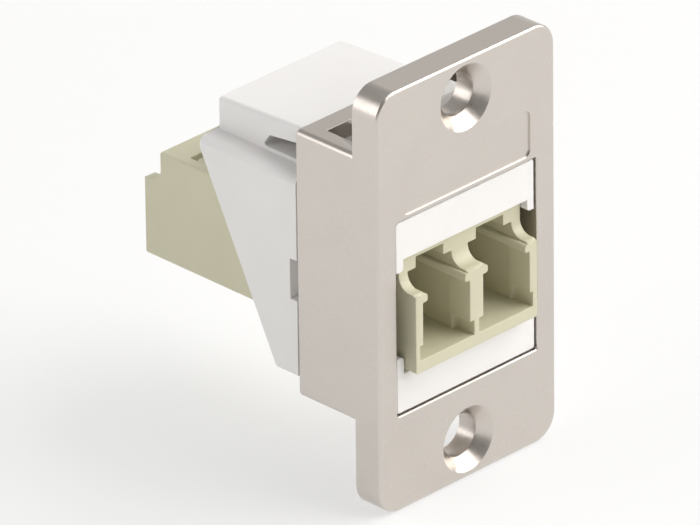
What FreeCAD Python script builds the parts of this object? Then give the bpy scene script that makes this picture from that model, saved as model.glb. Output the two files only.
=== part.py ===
"""Duplex LC fibre adapter in a slim keystone-type panel frame, in millimetres.

Frame of the part: +X to the right seen from the front, +Y to the rear, +Z up.
The origin is midway between the two screw holes, on the rear face of the plate,
where the plate seats on the panel.
"""
import FreeCAD, Part
import math
import os

V = FreeCAD.Vector

# ---------------------------------------------------------------- plate
plate_width = 18.4
plate_top = 17.1
plate_bottom = -17.1
plate_thickness = 2.6
plate_corner_radius = 2.0
plate_front_round = 0.22
plate_rear_bevel = 0.12
screw_spacing = 28.0
screw_bore = 3.4
countersink_diameter = 5.3
countersink_half_angle = 45.0

# bare label field, sunk into the front of the plate above the window
label_width = 13.3
label_bottom = 6.8
label_top = 10.6
label_depth = 0.13
label_corner_radius = 0.6

# ---------------------------------------------------------------- window and rear box of the frame
window_bottom = -9.37
window_top = 6.45
window_corner_radius = 0.2
window_front_bevel = 0.08
box_depth = 5.7
box_top = 11.9
box_bottom = -9.9
box_side_wall = 1.5
room_side_gap = 0.39
box_corner_round = 0.45
box_edge_round = 0.2
latch_bar_depth = 1.75
latch_bar_height = 1.35
hook_room_depth = 3.6
pocket_recess = 0.15

# ---------------------------------------------------------------- duplex LC adapter
port_pitch = 6.25
port_width = 4.85
port_floor = -4.92
port_height = 4.62
adapter_side_wall = 0.775
adapter_bottom = -5.9
adapter_top = 3.0
adapter_half_length = 14.0
adapter_overhang = 0.95
adapter_edge_round = 0.2
rail_reach = 0.5
rail_height = 0.66
rail_nose_radius = 0.22
pad_depth = 2.2
wall_setback = 0.15
lip_drop = 0.12
lip_round = 0.3
lip_flat = 0.35
stem_half_width = 0.87
latch_channel_top = 1.6
latch_channel_depth = 8.6
latch_slot_width = 2.83
roof_thickness = 0.5
scoop_radius = 1.05
scoop_floor = 0.5
upper_setback = 1.7
corner_relief_depth = 1.8
corner_relief_height = 1.2
corner_relief_wall = 0.26
outer_relief_wall = 0.45
window_start = 3.9
window_length = 3.0
web_half_thickness = 1.2
collar_half_thickness = 0.75
collar_reach = 0.5
collar_bottom = -4.9
collar_top = 2.1

# ---------------------------------------------------------------- ferrule barrels and split sleeves
sleeve_outer = 1.62
sleeve_inner = 1.25
sleeve_length = 6.8
sleeve_split = 0.25
sleeve_clearance = 0.03
barrel_outer = 2.9
barrel_lip = 0.7
barrel_mouth = 1.35
barrel_lead = 0.3

# ---------------------------------------------------------------- carrier
carrier_side_wall = 0.775
carrier_side_gap = 0.11
carrier_end_gap = 0.1
carrier_corner_radius = 0.3
nose_recess = 0.15
nose_front_bevel = 0.1
strip_clearance = 0.2
tab_side_gap = 0.125
tab_corner_round = 0.3
tab_top_reach = 2.25
tab_bottom_reach = -4.75
side_relief_depth = 4.0
passage_gap = 0.1
collar_gap = 0.1
shoulder_gap = 0.9
wing_wall = 1.395
wing_top = 7.27
wing_bottom = -8.95
wing_reach_top = 6.05
wing_rear_flat = 0.9
wing_reach_bottom = -1.55
wing_round = 0.6
wing_notch_depth = 0.72
wing_notch_bottom = -2.8
wing_notch_top = 0.5
snap_reach = 0.35
snap_length = 1.2
snap_bottom = -3.4
snap_top = 0.6

# latch tongue on top of the carrier, and its hook behind the bar of the frame
block_half_width = 6.45
block_rear_height = 9.87
latch_slope = 0.047
latch_root_thickness = 1.6
latch_tip_thickness = 0.9
flex_slot_end = 11.8
flex_slot_floor = 7.55
flex_slot_slant = 0.7
flex_slot_round = 0.2
latch_neck_half_width = 5.0
hook_height = 0.85
hook_length = 1.35
hook_nose = 0.9
hook_nose_drop = 0.5
block_round = 0.35
core_count = 3
core_rib = 0.9
core_skin = 1.1
lower_hook_drop = 0.45
lower_hook_length = 2.6

# ---------------------------------------------------------------- derived places
plate_front = -plate_thickness
box_rear = box_depth
bar_front = box_rear - latch_bar_depth
bar_underside = box_top - latch_bar_height
port_centre_x = port_pitch / 2
divider_half_width = (port_pitch - port_width) / 2
port_outer_x = port_centre_x + port_width / 2
adapter_width = 2 * (port_outer_x + adapter_side_wall)
collar_half_width = adapter_width / 2 + collar_reach
port_roof = port_floor + port_height
rail_top = port_roof + rail_height
roof_underside = adapter_top - roof_thickness
ferrule_z = port_floor + port_height / 2
adapter_front = plate_front - adapter_overhang
adapter_middle = adapter_front + adapter_half_length
carrier_half_width = adapter_width / 2 + passage_gap + carrier_side_wall
window_width = 2 * (carrier_half_width + carrier_side_gap)
room_half_width = window_width / 2 + room_side_gap
box_width = 2 * (room_half_width + box_side_wall)
carrier_top = window_top - carrier_end_gap
carrier_bottom = window_bottom + carrier_end_gap
nose_front = plate_front + nose_recess
tab_inner_half_width = adapter_width / 2 + tab_side_gap
collar_bay_half_width = collar_half_width + collar_gap
wing_half_width = collar_bay_half_width + wing_wall
wing_rear_top = adapter_middle + wing_reach_top
wing_rear_bottom = adapter_middle + wing_reach_bottom
shoulder_y = box_rear + shoulder_gap
collar_front = adapter_middle - collar_half_thickness
collar_rear = adapter_middle + collar_half_thickness
far = 40.0


# ---------------------------------------------------------------- helpers
def block(x0, x1, y0, y1, z0, z1):
    """Box between the given planes."""
    return Part.makeBox(x1 - x0, y1 - y0, z1 - z0, V(x0, y0, z0))


def rod(x, z, diameter, y0, y1):
    """Round bar along Y."""
    return Part.makeCylinder(diameter / 2, y1 - y0, V(x, y0, z), V(0, 1, 0))


def cone(x, z, diameter0, diameter1, y0, y1):
    """Cone along Y, from one diameter to the other."""
    return Part.makeCone(diameter0 / 2, diameter1 / 2, y1 - y0, V(x, y0, z), V(0, 1, 0))


def rounded_block(x0, x1, y0, y1, z0, z1, radius):
    """Box whose four edges along Y are rounded."""
    return round_edges(block(x0, x1, y0, y1, z0, z1), radius, runs_along(V(0, 1, 0)))


def side_profile(points, x0, x1):
    """Prism along X from (y, z) points. A third value in a point rounds that corner."""
    wire = rounded_wire([(V(x0, p[0], p[1]), p[2] if len(p) > 2 else 0.0) for p in points])
    return Part.Face(wire).extrude(V(x1 - x0, 0, 0))


def rounded_wire(corners):
    """Closed wire through the corners, with an arc at each corner that has a radius."""
    legs = []
    count = len(corners)
    for i, (corner, radius) in enumerate(corners):
        if radius == 0.0:
            legs.append((corner, None, corner))
            continue
        back = (corners[i - 1][0] - corner).normalize()
        ahead = (corners[(i + 1) % count][0] - corner).normalize()
        half = back.getAngle(ahead) / 2
        inset = radius / math.tan(half)
        middle = (back + ahead).normalize()
        tip = corner + middle * (radius / math.sin(half) - radius)
        legs.append((corner + back * inset, tip, corner + ahead * inset))
    edges = []
    for i, (start, tip, end) in enumerate(legs):
        if tip is not None:
            edges.append(Part.Arc(start, tip, end).toShape())
        edges.append(Part.LineSegment(end, legs[(i + 1) % count][0]).toShape())
    return Part.Wire(edges)


def runs_along(direction):
    """Test for straight edges along a direction."""
    def test(edge):
        if not isinstance(edge.Curve, Part.Line):
            return False
        return abs(abs(edge.tangentAt(edge.FirstParameter).dot(direction)) - 1) < 1e-6
    return test


def within(half_width, z0, z1):
    """Test for edges inside a window that is centred on x = 0."""
    def test(edge):
        b = edge.BoundBox
        slack = 1e-3
        return (b.XMin > -half_width - slack and b.XMax < half_width + slack
                and b.ZMin > z0 - slack and b.ZMax < z1 + slack)
    return test


def lies_in(x=None, y=None, z=None):
    """Test for edges that lie wholly in the given planes."""
    def test(edge):
        b = edge.BoundBox
        for low, high, value in ((b.XMin, b.XMax, x), (b.YMin, b.YMax, y), (b.ZMin, b.ZMax, z)):
            if value is not None and (abs(low - value) > 1e-4 or abs(high - value) > 1e-4):
                return False
        return True
    return test


def round_edges(shape, radius, *tests):
    """Round every edge that passes all the tests."""
    edges = [e for e in shape.Edges if all(test(e) for test in tests)]
    return shape.makeFillet(radius, edges)


def bevel_edges(shape, size, *tests):
    """Break every edge that passes all the tests with a small 45 degree bevel."""
    edges = [e for e in shape.Edges if all(test(e) for test in tests)]
    return shape.makeChamfer(size, edges)


# ---------------------------------------------------------------- front_frame
def front_frame():
    """Die-cast plate and rear box in one piece."""
    half = plate_width / 2
    plate = rounded_block(-half, half, plate_front, 0, plate_bottom, plate_top, plate_corner_radius)
    plate = round_edges(plate, plate_front_round, lies_in(y=plate_front))
    plate = bevel_edges(plate, plate_rear_bevel, lies_in(y=0))

    half = box_width / 2
    box = block(-half, half, -plate_thickness / 2, box_rear, box_bottom, box_top)
    box = round_edges(box, box_corner_round, runs_along(V(0, 1, 0)))
    box = round_edges(box, box_edge_round, lies_in(y=box_rear))
    body = plate.fuse(box).removeSplitter()

    half = window_width / 2
    body = body.cut(rounded_block(
        -half, half, plate_front - 1, 1, window_bottom, window_top, window_corner_radius))
    body = bevel_edges(body, window_front_bevel, lies_in(y=plate_front),
                       within(half, window_bottom, window_top))
    body = body.cut(frame_room())
    body = body.cut(label_field())
    for z in (-screw_spacing / 2, screw_spacing / 2):
        body = body.cut(screw_hole(z))
    return body.removeSplitter()


def frame_room():
    """Space behind the plate, sunk a little into it: open to the rear, above and below."""
    x = room_half_width
    floor = carrier_bottom
    rear_mouth = block(-x, x, 0, box_rear + 1, floor, bar_underside)
    latch_pocket = block(-x, x, 0, bar_front, floor, box_top + 1)
    lower_pocket = block(-x, x, 0, hook_room_depth, box_bottom - 1, 0)
    pocket_floor = block(-x, x, -pocket_recess, 1, box_bottom, box_top)
    return rear_mouth.fuse([latch_pocket, lower_pocket, pocket_floor])


def label_field():
    """Shallow recess with rounded corners."""
    half = label_width / 2
    return rounded_block(-half, half, plate_front - 1, plate_front + label_depth,
                         label_bottom, label_top, label_corner_radius)


def screw_hole(z):
    """Through bore with a countersink from the front."""
    depth = (countersink_diameter - screw_bore) / 2 / math.tan(math.radians(countersink_half_angle))
    bore = rod(0, z, screw_bore, plate_front - 1, 1)
    sink = cone(0, z, countersink_diameter, screw_bore, plate_front, plate_front + depth)
    return bore.fuse(sink)


# ---------------------------------------------------------------- keystone_carrier
def keystone_carrier():
    """White moulded carrier: nose in the window, two wings, and a latch tongue on top."""
    x = carrier_half_width
    nose = rounded_block(-x, x, nose_front, shoulder_y + 1, carrier_bottom, carrier_top,
                         carrier_corner_radius)
    nose = bevel_edges(nose, nose_front_bevel, lies_in(y=nose_front))
    body = nose.fuse([wing_body(), latch_block(), latch_tongue(), lower_hook()])
    body = body.cut(flex_slot())
    body = body.cut(adapter_passage())
    body = body.cut(front_reliefs())
    for core in block_cores():
        body = body.cut(core)
    for side in (-1, 1):
        body = body.cut(wing_notch(side))
        body = body.fuse(retaining_snap(side))
    return body.removeSplitter()


def wing_body():
    """Wide rear part: stops behind the box, and slants away below."""
    outline = [
        (shoulder_y, wing_bottom),
        (wing_rear_bottom, wing_bottom, 0.3),
        (wing_rear_top, wing_top - wing_rear_flat, 1.0),
        (wing_rear_top, wing_top),
        (shoulder_y, wing_top),
    ]
    wings = side_profile(outline, -wing_half_width, wing_half_width)
    return round_edges(wings, wing_round, runs_along(V(0, 1, 0)), lies_in(z=wing_top))


def latch_top(y):
    """Height of the sloping top of the latch."""
    return block_rear_height + latch_slope * (wing_rear_top - y)


def latch_underside(y):
    """Height of the underside of the tongue, which grows thicker towards its root."""
    root_y = flex_slot_end - flex_slot_slant
    tip_y = bar_front - hook_length - hook_nose
    root_z = latch_top(root_y) - latch_root_thickness
    tip_z = latch_top(tip_y) - latch_tip_thickness
    return root_z + (tip_z - root_z) * (root_y - y) / (root_y - tip_y)


def latch_block():
    """Raised block that carries the root of the tongue."""
    outline = [
        (shoulder_y, wing_top - 1),
        (wing_rear_top, wing_top - 1),
        (wing_rear_top, latch_top(wing_rear_top), block_round),
        (shoulder_y, latch_top(shoulder_y)),
    ]
    raised = side_profile(outline, -block_half_width, block_half_width)
    top = [e for e in raised.Edges
           if e.BoundBox.ZMin > wing_top and e.BoundBox.XLength < 1e-4]
    return raised.makeFillet(block_round, top)


def latch_tongue():
    """Neck of the latch under the bar, with the hook that stands up in front of the bar."""
    hook_rear = bar_front
    hook_front = hook_rear - hook_length
    hook_top = bar_underside + hook_height
    tip = hook_front - hook_nose
    outline = [
        (flex_slot_end, latch_underside(flex_slot_end)),
        (flex_slot_end, latch_top(flex_slot_end) - 0.1),
        (hook_rear, latch_top(hook_rear)),
        (hook_rear, hook_top, 0.15),
        (hook_front, hook_top, 0.3),
        (tip, latch_top(tip) - hook_nose_drop, 0.15),
        (tip, latch_underside(tip), 0.15),
    ]
    return side_profile(outline, -latch_neck_half_width, latch_neck_half_width)


def flex_slot():
    """Slot under the tongue, open to the front, with a slanted and rounded end."""
    front = shoulder_y - 1
    root = flex_slot_end - flex_slot_slant
    outline = [
        (front, flex_slot_floor),
        (flex_slot_end, flex_slot_floor, flex_slot_round),
        (root, latch_underside(root), flex_slot_round),
        (front, latch_underside(front)),
    ]
    return side_profile(outline, -wing_half_width - 1, wing_half_width + 1)


def adapter_passage():
    """Passage that the adapter slides into from the rear, up to its collar."""
    x = adapter_width / 2 + passage_gap
    wide = collar_bay_half_width
    narrow = block(-x, x, plate_front - 1, far, adapter_bottom, adapter_top)
    collar_bay = block(-wide, wide, collar_front, far, collar_bottom - collar_gap,
                       collar_top + collar_gap)
    return narrow.fuse(collar_bay)


def front_reliefs():
    """Clear space round the front of the adapter, between the strip, the bar and their tabs."""
    rear = plate_front + side_relief_depth
    lower = adapter_bottom - strip_clearance
    upper = adapter_top + strip_clearance
    opening = block(-tab_inner_half_width, tab_inner_half_width, plate_front - 1, rear, lower, upper)
    x = carrier_half_width + 1
    sides = block(-x, x, plate_front - 1, rear, tab_bottom_reach, tab_top_reach)
    cross = opening.fuse(sides)
    return round_edges(cross, tab_corner_round, runs_along(V(0, 1, 0)),
                       within(tab_inner_half_width, tab_bottom_reach, tab_top_reach))


def block_cores():
    """Cored pockets in the rear of the block, with ribs between them."""
    inner = 2 * (block_half_width - core_skin)
    width = (inner - core_rib * (core_count - 1)) / core_count
    bottom = adapter_top + core_skin
    top = block_rear_height - core_skin
    front = flex_slot_end + core_skin
    cores = []
    for i in range(core_count):
        x = -inner / 2 + i * (width + core_rib)
        cores.append(rounded_block(x, x + width, front, far, bottom, top, 0.3))
    return cores


def wing_notch(side):
    """Small notch in the front edge of a wing."""
    x0, x1 = sorted((side * carrier_half_width, side * (wing_half_width + 1)))
    return block(x0, x1, shoulder_y - 1, shoulder_y + wing_notch_depth,
                 wing_notch_bottom, wing_notch_top)


def retaining_snap(side):
    """Ramp inside a wing that holds the collar from behind."""
    wall = collar_bay_half_width
    tip = wall - snap_reach
    root = wall + 0.2
    front = collar_rear
    rear = front + snap_length
    points = [V(side * root, front, 0), V(side * tip, front, 0),
              V(side * wall, rear, 0), V(side * root, rear, 0)]
    wire = Part.makePolygon([p + V(0, 0, snap_bottom) for p in points + points[:1]])
    return Part.Face(wire).extrude(V(0, 0, snap_top - snap_bottom))


def lower_hook():
    """Fixed rib under the nose that grips behind the lower edge of the window."""
    x = carrier_half_width
    rear = lower_hook_length
    low = carrier_bottom - lower_hook_drop
    front = -pocket_recess
    outline = [
        (front, carrier_bottom + 1),
        (front, low),
        (rear - 2 * lower_hook_drop, low),
        (rear, carrier_bottom),
        (rear, carrier_bottom + 1),
    ]
    return side_profile(outline, -x, x)


# ---------------------------------------------------------------- adapter halves
def adapter_half():
    """Front half of the adapter shell, with its open end at adapter_front."""
    half = adapter_width / 2
    body = block(-half, half, adapter_front, adapter_middle, adapter_bottom, adapter_top)
    body = round_edges(body, adapter_edge_round, runs_along(V(0, 1, 0)))
    body = body.cut(upper_scoop())
    for port in (-1, 1):
        x = port * port_centre_x
        body = body.cut(port_cavity(x))
        body = body.fuse([port_rail(x, -1), port_rail(x, 1)])
        body = body.cut(corner_reliefs(port))
    body = body.fuse([collar(-1), collar(1)])
    for side in (-1, 1):
        body = body.fuse(barrel(side * port_centre_x))
    for side in (-1, 1):
        body = body.cut(barrel_bore(side * port_centre_x))
    return body.removeSplitter()


def upper_scoop():
    """Concave step that sets the upper part back behind the lips."""
    rear = adapter_front + upper_setback
    front = adapter_front
    outline = [
        (rear, adapter_top + 1),
        (rear, scoop_floor, scoop_radius),
        (front + lip_flat, scoop_floor, lip_round),
        (front, scoop_floor - lip_drop),
        (front - 1, scoop_floor - lip_drop),
        (front - 1, adapter_top + 1),
    ]
    return side_profile(outline, -far, far)


def port_cavity(x):
    """One port: plug space, latch channel, latch slot and roof window."""
    front = adapter_front - 1
    web = adapter_middle - web_half_thickness
    gate = port_width / 2
    plug = block(x - gate, x + gate, front, web, port_floor, rail_top)
    wide = gate + wall_setback
    behind_pads = block(x - wide, x + wide, adapter_front + pad_depth, web, port_floor, port_roof)
    side = port_pitch / 2 - stem_half_width
    channel_rear = adapter_front + latch_channel_depth
    channel = block(x - side, x + side, front, channel_rear, rail_top, latch_channel_top)
    catch = adapter_front + window_start
    slot = block(x - latch_slot_width / 2, x + latch_slot_width / 2, front, catch,
                 latch_channel_top - 0.5, roof_underside)
    roof_window = block(x - side, x + side, catch, catch + window_length,
                        latch_channel_top - 0.5, adapter_top + 1)
    return plug.fuse([behind_pads, channel, slot, roof_window])


def port_rail(x, side):
    """Guide rail along the upper corner of one port, with a round nose."""
    web = adapter_middle - web_half_thickness
    root = port_width / 2 + wall_setback
    tip = port_width / 2 - rail_reach
    x0, x1 = sorted((x + side * root, x + side * tip))
    rail = block(x0, x1, adapter_front, web, port_roof, rail_top)
    return round_edges(rail, rail_nose_radius, runs_along(V(0, 1, 0)), lies_in(x=x + side * tip))


def corner_reliefs(side):
    """Relieved lower corners at the mouth of one port."""
    inner = corner_relief_wall
    outer = adapter_width / 2 - outer_relief_wall
    x0, x1 = sorted((side * inner, side * outer))
    return block(x0, x1, adapter_front - 1, adapter_front + corner_relief_depth,
                 port_floor, port_floor + corner_relief_height)


def collar(side):
    """Side rib at the parting plane."""
    root = adapter_width / 2 - 0.3
    x0, x1 = sorted((side * root, side * collar_half_width))
    return block(x0, x1, collar_front, adapter_middle, collar_bottom, collar_top)


def barrel(x):
    """Round barrel that stands from the web into one port."""
    tip = adapter_middle - sleeve_length / 2 - barrel_lip
    return rod(x, ferrule_z, barrel_outer, tip, adapter_middle - web_half_thickness / 2)


def barrel_bore(x):
    """Sleeve pocket, retaining lip and lead-in of one barrel."""
    pocket_front = adapter_middle - sleeve_length / 2
    tip = pocket_front - barrel_lip
    pocket = rod(x, ferrule_z, sleeve_outer + 2 * sleeve_clearance, pocket_front, adapter_middle + 1)
    mouth = rod(x, ferrule_z, barrel_mouth, tip - 1, pocket_front + 1)
    lead = cone(x, ferrule_z, barrel_mouth + 2 * barrel_lead, barrel_mouth, tip, tip + barrel_lead)
    return pocket.fuse([mouth, lead])


# ---------------------------------------------------------------- alignment sleeves
def alignment_sleeve(x):
    """Split ceramic sleeve on the axis of one port."""
    y0 = adapter_middle - sleeve_length / 2
    y1 = adapter_middle + sleeve_length / 2
    tube = rod(x, ferrule_z, sleeve_outer, y0, y1).cut(rod(x, ferrule_z, sleeve_inner, y0, y1))
    split = block(x - sleeve_split / 2, x + sleeve_split / 2, y0, y1, ferrule_z, ferrule_z + sleeve_outer)
    return tube.cut(split)


# ---------------------------------------------------------------- build
def build():
    """All pieces of the adapter by name."""
    front_half = adapter_half()
    rear_half = front_half.mirror(V(0, adapter_middle, 0), V(0, 1, 0))
    return {
        "front_frame": front_frame(),
        "keystone_carrier": keystone_carrier(),
        "adapter_front_half": front_half,
        "adapter_rear_half": rear_half,
        "alignment_sleeve_left": alignment_sleeve(-port_centre_x),
        "alignment_sleeve_right": alignment_sleeve(port_centre_x),
    }


os.makedirs("parts", exist_ok=True)
for name, shape in build().items():
    solids = shape.Solids
    print(name, "solids", len(solids), "valid", shape.isValid(), "volume", round(shape.Volume, 2))
    piece = solids[0] if len(solids) == 1 else shape
    piece.exportStep(os.path.join("parts", name + ".step"))
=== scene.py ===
import math

import bmesh
import bpy
from mathutils import Matrix, Vector


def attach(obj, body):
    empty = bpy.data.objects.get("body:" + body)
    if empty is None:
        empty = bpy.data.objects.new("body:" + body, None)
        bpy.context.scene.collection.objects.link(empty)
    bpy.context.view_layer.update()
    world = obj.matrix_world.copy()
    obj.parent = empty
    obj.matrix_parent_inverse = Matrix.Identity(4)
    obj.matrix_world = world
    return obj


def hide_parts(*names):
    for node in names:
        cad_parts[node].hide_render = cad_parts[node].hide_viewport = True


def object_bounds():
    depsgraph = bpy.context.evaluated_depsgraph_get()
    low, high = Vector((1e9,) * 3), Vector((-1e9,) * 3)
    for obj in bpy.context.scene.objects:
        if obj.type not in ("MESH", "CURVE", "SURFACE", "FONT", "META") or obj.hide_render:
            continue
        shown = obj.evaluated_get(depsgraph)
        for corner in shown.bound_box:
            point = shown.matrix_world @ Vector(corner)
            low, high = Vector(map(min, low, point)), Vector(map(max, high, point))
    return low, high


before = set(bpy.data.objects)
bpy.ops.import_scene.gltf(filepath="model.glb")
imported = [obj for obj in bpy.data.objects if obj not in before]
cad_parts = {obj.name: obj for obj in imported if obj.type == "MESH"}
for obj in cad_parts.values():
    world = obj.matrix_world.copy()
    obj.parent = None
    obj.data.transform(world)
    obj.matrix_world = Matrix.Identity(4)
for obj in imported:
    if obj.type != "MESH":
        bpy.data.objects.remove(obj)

cad_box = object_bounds()


# ---------------------------------------------------------------- front frame
# Plate and rear box in one zinc die casting. It is tumbled before plating, so
# every arris is slightly rounded and catches a thin line of light.
MM = 0.001


def favour_flats(bm):
    """Makes flat faces the strong ones in the layer that the Weighted Normal modifier reads."""
    narrowest_flat = 0.5 * MM
    same_plane = math.radians(0.1)
    strong = 16384
    strength = bm.faces.layers.int.new("__mod_weightednormals_faceweight")
    seen = set()
    for first in bm.faces:
        if first in seen:
            continue
        seen.add(first)
        flat, waiting = [], [first]
        while waiting:
            face = waiting.pop()
            flat.append(face)
            for edge in face.edges:
                if edge.calc_face_angle() < same_plane:
                    waiting.extend(other for other in edge.link_faces if other not in seen)
                    seen.update(edge.link_faces)
        corners = [vert.co for face in flat for vert in face.verts]
        length = max(max(axis) - min(axis) for axis in zip(*corners))
        if sum(face.calc_area() for face in flat) > narrowest_flat * length:
            for face in flat:
                face[strength] = strong


def soften(node, name, radius_mm, steps, least_angle, stays_sharp):
    """Copy of a cast or moulded piece with its sharp arrises rounded.

    An arris is left as it is where stays_sharp says so of its middle, in mm.
    """
    triangle_gap = 0.0005 * MM
    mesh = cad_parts[node].data.copy()
    mesh.name = name
    bm = bmesh.new()
    bm.from_mesh(mesh)
    bmesh.ops.remove_doubles(bm, verts=bm.verts, dist=triangle_gap)
    for face in bm.faces:
        face.smooth = True
    weight = bm.edges.layers.float.new("bevel_weight_edge")
    for edge in bm.edges:
        if edge.calc_face_angle() > math.radians(least_angle):
            edge.smooth = not stays_sharp((edge.verts[0].co + edge.verts[1].co) / 2 / MM)
            edge[weight] = float(edge.smooth)
    favour_flats(bm)
    bm.to_mesh(mesh)
    bm.free()
    mesh.materials.clear()
    piece = bpy.data.objects.new(name, mesh)
    bpy.context.scene.collection.objects.link(piece)
    bevel = piece.modifiers.new("arris", "BEVEL")
    bevel.width = radius_mm * MM
    bevel.segments = steps
    bevel.limit_method = "WEIGHT"
    bevel.use_clamp_overlap = False
    bevel.loop_slide = False
    bevel.face_strength_mode = "FSTR_NEW"
    shading = piece.modifiers.new("flats", "WEIGHTED_NORMAL")
    shading.mode = "CORNER_ANGLE"
    shading.use_face_influence = True
    shading.keep_sharp = True
    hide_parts(node)
    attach(piece, "root")
    return piece


def linear(hex_colour):
    """Linear colour from an sRGB hex value."""
    channels = [int(hex_colour[i:i + 2], 16) / 255 for i in (0, 2, 4)]
    return tuple(c / 12.92 if c <= 0.04045 else ((c + 0.055) / 1.055) ** 2.4
                 for c in channels) + (1.0,)


def add(tree, kind, settings=None, inputs=None):
    """Adds a node. An input is a value, or the output socket that feeds it."""
    node = tree.nodes.new(kind)
    for key, value in (settings or {}).items():
        setattr(node, key, value)
    for key, value in (inputs or {}).items():
        if isinstance(value, bpy.types.NodeSocket):
            tree.links.new(value, node.inputs[key])
        else:
            node.inputs[key].default_value = value
    return node


# Satin nickel over zinc: the electroplate follows the cast skin, so the metal is
# a warm light grey with a soft reflection and a very fine orange peel.
peel_size, drift_size = 0.35 * MM, 5.0 * MM
nickel = bpy.data.materials.new("satin_nickel_plate")
nickel.use_nodes = True
tree = nickel.node_tree
shader = tree.nodes["Principled BSDF"]
place = add(tree, "ShaderNodeTexCoord").outputs["Object"]
grain = add(tree, "ShaderNodeTexNoise", {"noise_dimensions": "3D"},
            {"Vector": place, "Scale": 1 / peel_size, "Detail": 3.0, "Roughness": 0.6})
cloud = add(tree, "ShaderNodeTexNoise", {},
            {"Vector": place, "Scale": 1 / drift_size, "Detail": 2.0})
tone = add(tree, "ShaderNodeMix", {"data_type": "RGBA"},
           {"Factor": cloud.outputs["Fac"], "A": linear("cfc8c1"), "B": linear("d6cfc8")})
polish = add(tree, "ShaderNodeMapRange", {},
             {"Value": grain.outputs["Fac"], "From Min": 0.3, "From Max": 0.7,
              "To Min": 0.27, "To Max": 0.35})
peel = add(tree, "ShaderNodeBump", {},
           {"Strength": 0.06, "Distance": 0.02 * MM, "Height": grain.outputs["Fac"]})
tree.links.new(tone.outputs["Result"], shader.inputs["Base Color"])
tree.links.new(polish.outputs["Result"], shader.inputs["Roughness"])
tree.links.new(peel.outputs["Normal"], shader.inputs["Normal"])
shader.inputs["Metallic"].default_value = 1.0


def on_panel_seat(centre):
    """Edges of the plate's rear face and of the pocket floor just in front of it."""
    seat_front, seat_rear = -0.2, 0.1
    return seat_front < centre.y < seat_rear


casting = soften("front_frame", "cast_frame", radius_mm=0.03, steps=2, least_angle=40,
                 stays_sharp=on_panel_seat)
casting.data.materials.append(nickel)


# ---------------------------------------------------------------- white carrier
# Moulded ABS nose, wings and latch in one piece. It clips into the box of the
# frame from behind, and its mould leaves small radii on most outside edges.


def moulded_plastic(name, darker, lighter, drift_size, roughness, ior):
    """Matt plastic with the grain of a spark-eroded mould and a faint drift of tone."""
    grain_size = 0.12 * MM
    material = bpy.data.materials.new(name)
    material.use_nodes = True
    tree = material.node_tree
    shader = tree.nodes["Principled BSDF"]
    place = add(tree, "ShaderNodeTexCoord").outputs["Object"]
    spark = add(tree, "ShaderNodeTexNoise", {},
                {"Vector": place, "Scale": 1 / grain_size, "Detail": 2.0, "Roughness": 0.5})
    cloud = add(tree, "ShaderNodeTexNoise", {},
                {"Vector": place, "Scale": 1 / drift_size, "Detail": 1.0})
    tone = add(tree, "ShaderNodeMix", {"data_type": "RGBA"},
               {"Factor": cloud.outputs["Fac"], "A": linear(darker), "B": linear(lighter)})
    texture = add(tree, "ShaderNodeBump", {},
                  {"Strength": 0.08, "Distance": 0.01 * MM, "Height": spark.outputs["Fac"]})
    tree.links.new(tone.outputs["Result"], shader.inputs["Base Color"])
    tree.links.new(texture.outputs["Normal"], shader.inputs["Normal"])
    shader.inputs["Roughness"].default_value = roughness
    shader.inputs["IOR"].default_value = ior
    return material


def too_fine_on_carrier(centre):
    """Ends of the lower hook, rear walls of the front reliefs, and the foot of the tongue."""
    hook_top, hook_rear = -8.9, 6.0
    relief_rear = 1.4
    tongue_front, tongue_bottom = 6.6, 10.0
    near = 0.05
    hook = centre.z < hook_top and centre.y < hook_rear
    relief = abs(centre.y - relief_rear) < near
    foot = abs(centre.y - tongue_front) < near and centre.z > tongue_bottom
    return hook or relief or foot


# White ABS: bright and matt, with no colour of its own.
abs_white = moulded_plastic("white_moulded_abs", "efedec", "f3f2f1",
                            drift_size=4.0 * MM, roughness=0.45, ior=1.52)

carrier = soften("keystone_carrier", "latched_carrier", radius_mm=0.05, steps=2,
                 least_angle=50, stays_sharp=too_fine_on_carrier)
carrier.data.materials.append(abs_white)


# ---------------------------------------------------------------- fibre adapter
# Two equal halves of beige PBT, welded back to back at the collar. Each is one
# moulding, and the tops of its guide rails are too narrow to round.


def on_rail_top(centre):
    """Edges along the tops of the guide rails."""
    rail_top, near = 0.36, 0.03
    return abs(centre.z - rail_top) < near


# Beige PBT: a little glossier than the ABS, in a pale grey beige.
pbt = moulded_plastic("beige_moulded_pbt", "cfcbb0", "d4d0b6",
                      drift_size=3.0 * MM, roughness=0.42, ior=1.55)

for end in ("front", "rear"):
    shell = soften("adapter_" + end + "_half", "adapter_" + end + "_shell", radius_mm=0.07,
                   steps=3, least_angle=50, stays_sharp=on_rail_top)
    shell.data.materials.append(pbt)


# ---------------------------------------------------------------- alignment sleeves
# Split zirconia tubes held loose in the barrels. They are ground round and
# polished, so they stay as the plain tubes they are.
drift_size = 0.5 * MM
zirconia = bpy.data.materials.new("ground_zirconia")
zirconia.use_nodes = True
tree = zirconia.node_tree
shader = tree.nodes["Principled BSDF"]
place = add(tree, "ShaderNodeTexCoord").outputs["Object"]
cloud = add(tree, "ShaderNodeTexNoise", {},
            {"Vector": place, "Scale": 1 / drift_size, "Detail": 2.0})
tone = add(tree, "ShaderNodeMix", {"data_type": "RGBA"},
           {"Factor": cloud.outputs["Fac"], "A": linear("eceae2"), "B": linear("f4f3ee")})
tree.links.new(tone.outputs["Result"], shader.inputs["Base Color"])
shader.inputs["Roughness"].default_value = 0.18
shader.inputs["IOR"].default_value = 2.15

for side in ("left", "right"):
    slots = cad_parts["alignment_sleeve_" + side].data.materials
    for index in range(len(slots)):
        slots[index] = zirconia


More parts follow.
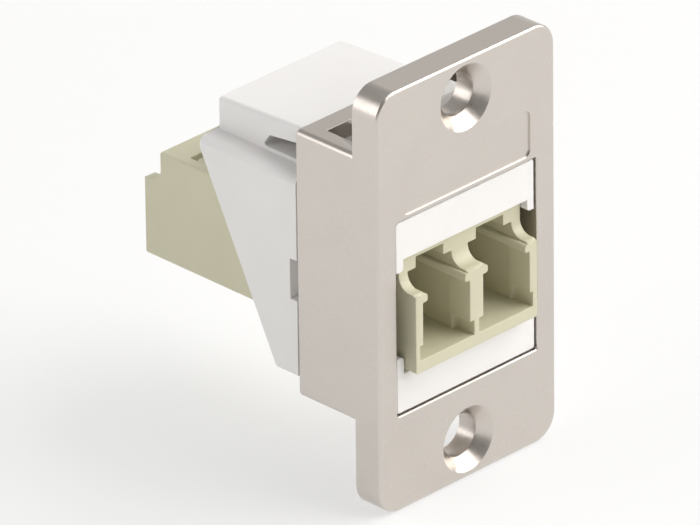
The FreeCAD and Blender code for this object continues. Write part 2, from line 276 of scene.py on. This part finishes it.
# ---------------------------------------------------------------- floor and light
# A white sheet under the part and three soft lamps: a large one at the front
# right, a weak one above and a weak one at the rear left.
low, high = (Vector(corner) for corner in cad_box)
middle = (low + high) / 2

# Matt white paper. Seen directly or in a reflection it glows a little, which keeps
# it pale, and matt surfaces get no light from that glow.
glow_share = 0.55
paper = bpy.data.materials.new("white_paper")
paper.use_nodes = True
tree = paper.node_tree
shader = tree.nodes["Principled BSDF"]
shader.inputs["Base Color"].default_value = linear("f4f4f3")
shader.inputs["Roughness"].default_value = 0.9
path = add(tree, "ShaderNodeLightPath").outputs
seen = add(tree, "ShaderNodeMath", {"operation": "MAXIMUM"},
           {0: path["Is Camera Ray"], 1: path["Is Glossy Ray"]})
seen = add(tree, "ShaderNodeMath", {"operation": "MAXIMUM"},
           {0: seen.outputs[0], 1: path["Is Transmission Ray"]})
share = add(tree, "ShaderNodeMath", {"operation": "MULTIPLY"},
            {0: seen.outputs[0], 1: glow_share})
glow = add(tree, "ShaderNodeEmission", {}, {"Color": linear("ffffff"), "Strength": 1.0})
mix = add(tree, "ShaderNodeMixShader", {},
          {"Fac": share.outputs[0], 1: shader.outputs[0], 2: glow.outputs[0]})
tree.links.new(mix.outputs[0], tree.nodes["Material Output"].inputs["Surface"])

half_sheet, gap_under_part = 3.0, 0.1 * MM
bm = bmesh.new()
bmesh.ops.create_grid(bm, x_segments=2, y_segments=2, size=half_sheet,
                      matrix=Matrix.Translation((0, 0, low.z - gap_under_part)))
sheet_mesh = bpy.data.meshes.new("floor")
bm.to_mesh(sheet_mesh)
bm.free()
sheet_mesh.materials.append(paper)
floor = bpy.data.objects.new("floor", sheet_mesh)
bpy.context.scene.collection.objects.link(floor)


def soft_lamp(name, direction, distance, size, power, colour):
    """Square area lamp that looks at the middle of the part."""
    lamp_data = bpy.data.lights.new(name, "AREA")
    lamp_data.size = size
    lamp_data.energy = power
    lamp_data.color = linear(colour)[:3]
    lamp = bpy.data.objects.new(name, lamp_data)
    lamp.location = middle + Vector(direction).normalized() * distance
    lamp.rotation_euler = Vector(direction).to_track_quat("Z", "Y").to_euler()
    bpy.context.scene.collection.objects.link(lamp)


lamp_distance = 0.9
soft_lamp("key", (0.63, -0.58, 0.65), lamp_distance, size=1.0, power=9.8, colour="fffdfa")
soft_lamp("high", (0.30, -0.10, 1.0), lamp_distance, size=0.8, power=1.5, colour="ffffff")
soft_lamp("left", (-1.0, 0.55, 0.45), lamp_distance, size=0.6, power=1.5, colour="ffffff")

# The room is brighter behind the part than in front, and dims overhead.
front_light, rear_light = 0.28, 0.74
wall_share, overhead_share = 1.0, 0.5
world = bpy.data.worlds.new("room")
world.use_nodes = True
tree = world.node_tree
heading = add(tree, "ShaderNodeSeparateXYZ", {},
              {"Vector": add(tree, "ShaderNodeTexCoord").outputs["Generated"]})
rear = add(tree, "ShaderNodeMapRange", {"interpolation_type": "SMOOTHSTEP"},
           {"Value": heading.outputs["Y"], "From Min": -0.4, "From Max": 0.4,
            "To Min": front_light, "To Max": rear_light})
dusk = add(tree, "ShaderNodeMapRange", {"interpolation_type": "SMOOTHSTEP"},
           {"Value": heading.outputs["Z"], "From Min": 0.48, "From Max": 0.66,
            "To Min": wall_share, "To Max": overhead_share})
wall = add(tree, "ShaderNodeMath", {"operation": "MULTIPLY"},
           {0: rear.outputs["Result"], 1: dusk.outputs["Result"]})
tree.links.new(wall.outputs[0], tree.nodes["Background"].inputs["Strength"])
tree.nodes["Background"].inputs["Color"].default_value = linear("fffefc")
bpy.context.scene.world = world


# ---------------------------------------------------------------- camera
# Long lens from the front left and above. It aims a little low and to the right
# of the part's middle.
azimuth, elevation, roll = math.radians(-45.0), math.radians(27.61), math.radians(-0.715)
back = Vector((math.sin(azimuth) * math.cos(elevation),
               -math.cos(azimuth) * math.cos(elevation), math.sin(elevation)))
right = Vector((math.cos(azimuth), math.sin(azimuth), 0))
up = back.cross(right)
aim_across, aim_down = 0.711, 3.654
aim = middle + (aim_across * right - aim_down * up) * MM
distance = 849.86 * MM
view = Matrix((math.cos(roll) * right + math.sin(roll) * up,
               math.cos(roll) * up - math.sin(roll) * right, back)).transposed().to_4x4()
view.translation = aim + back * distance
lens = bpy.data.cameras.new("camera")
lens.lens = 595.95
lens.sensor_width = 36
lens.clip_end = 10
camera = bpy.data.objects.new("camera", lens)
camera.matrix_world = view
bpy.context.scene.collection.objects.link(camera)
bpy.context.scene.camera = camera
bpy.context.scene.view_settings.view_transform = "Standard"
